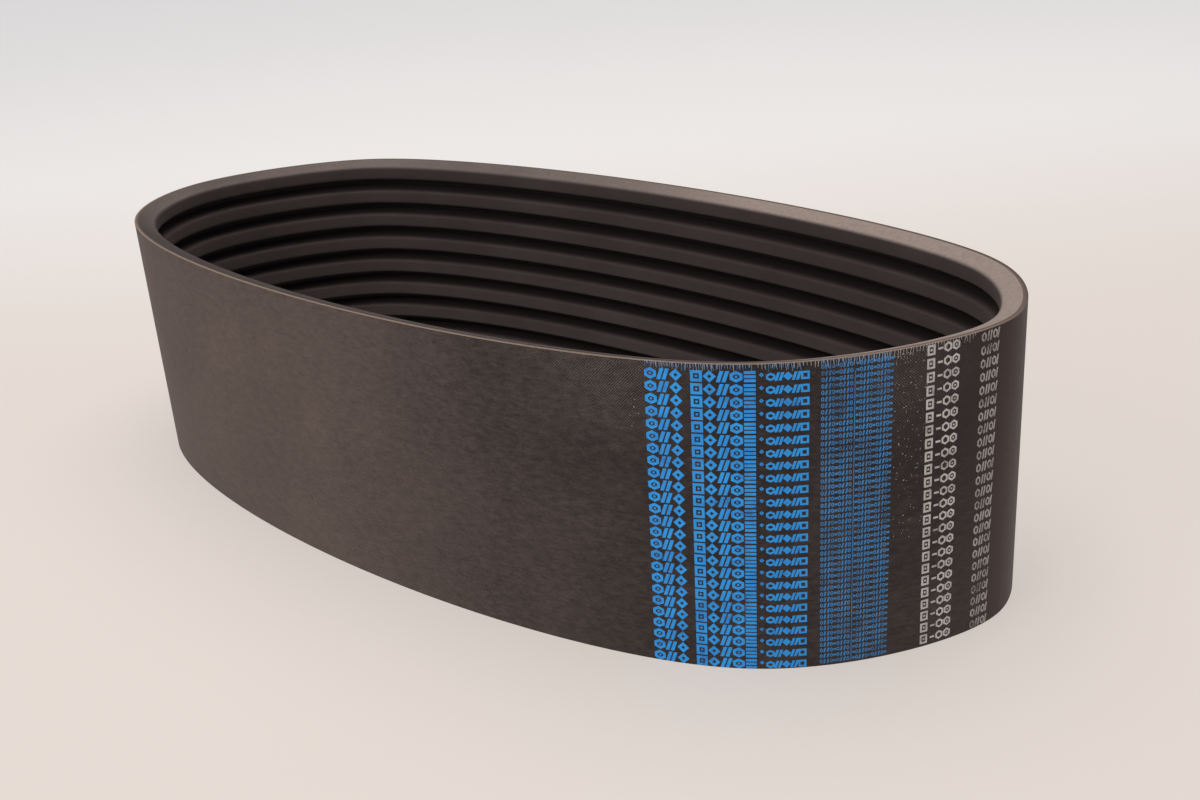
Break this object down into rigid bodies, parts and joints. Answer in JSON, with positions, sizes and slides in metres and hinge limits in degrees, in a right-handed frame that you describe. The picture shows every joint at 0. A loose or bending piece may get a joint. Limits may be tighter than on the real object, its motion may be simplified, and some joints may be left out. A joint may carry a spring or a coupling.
{
  "type": "joined v-belt",
  "caption": "Wide joined V-belt: wrapped trapezoidal ribs side by side under one woven tie band, standing on its edge as a slack oval loop, with printed rows of plain marks on its back.",
  "frame": {"origin": "below the middle of the belt's box, on the floor it stands on", "axes": "+Z runs across the belt from rib 1 to the top rib, as a sheave's axle would; +X is the loop's longest extent"},
  "size_m": [0.654, 0.3004, 0.1694],
  "materials": {
    "band_fabric": "matt woven fabric soaked in rubber, dusty, with printed marks",
    "band_lining": "matt black rubberised fabric",
    "jacket_fabric": "matt woven fabric soaked in rubber, rubbed grey",
    "compression_rubber": "matt black moulded rubber",
    "tensile_cord": "natural polyester cord",
    "cushion_gum": "satin black gum rubber"
  },
  "bodies": {
    "root": {"tie_band_outer_ply": "band_fabric", "tie_band_inner_ply": "band_lining", "rib_1_fabric_jacket": "jacket_fabric", "rib_1_compression_rubber": "compression_rubber", "rib_1_tensile_cord": "tensile_cord", "rib_1_cushion_gum": "cushion_gum", "rib_2_fabric_jacket": "jacket_fabric", "rib_2_compression_rubber": "compression_rubber", "rib_2_tensile_cord": "tensile_cord", "rib_2_cushion_gum": "cushion_gum", "rib_3_fabric_jacket": "jacket_fabric", "rib_3_compression_rubber": "compression_rubber", "rib_3_tensile_cord": "tensile_cord", "rib_3_cushion_gum": "cushion_gum", "rib_4_fabric_jacket": "jacket_fabric", "rib_4_compression_rubber": "compression_rubber", "rib_4_tensile_cord": "tensile_cord", "rib_4_cushion_gum": "cushion_gum", "rib_5_fabric_jacket": "jacket_fabric", "rib_5_compression_rubber": "compression_rubber", "rib_5_tensile_cord": "tensile_cord", "rib_5_cushion_gum": "cushion_gum", "rib_6_fabric_jacket": "jacket_fabric", "rib_6_compression_rubber": "compression_rubber", "rib_6_tensile_cord": "tensile_cord", "rib_6_cushion_gum": "cushion_gum", "rib_7_fabric_jacket": "jacket_fabric", "rib_7_compression_rubber": "compression_rubber", "rib_7_tensile_cord": "tensile_cord", "rib_7_cushion_gum": "cushion_gum", "rib_8_fabric_jacket": "jacket_fabric", "rib_8_compression_rubber": "compression_rubber", "rib_8_tensile_cord": "tensile_cord", "rib_8_cushion_gum": "cushion_gum", "rib_9_fabric_jacket": "jacket_fabric", "rib_9_compression_rubber": "compression_rubber", "rib_9_tensile_cord": "tensile_cord", "rib_9_cushion_gum": "cushion_gum"}
  },
  "joints": []
}
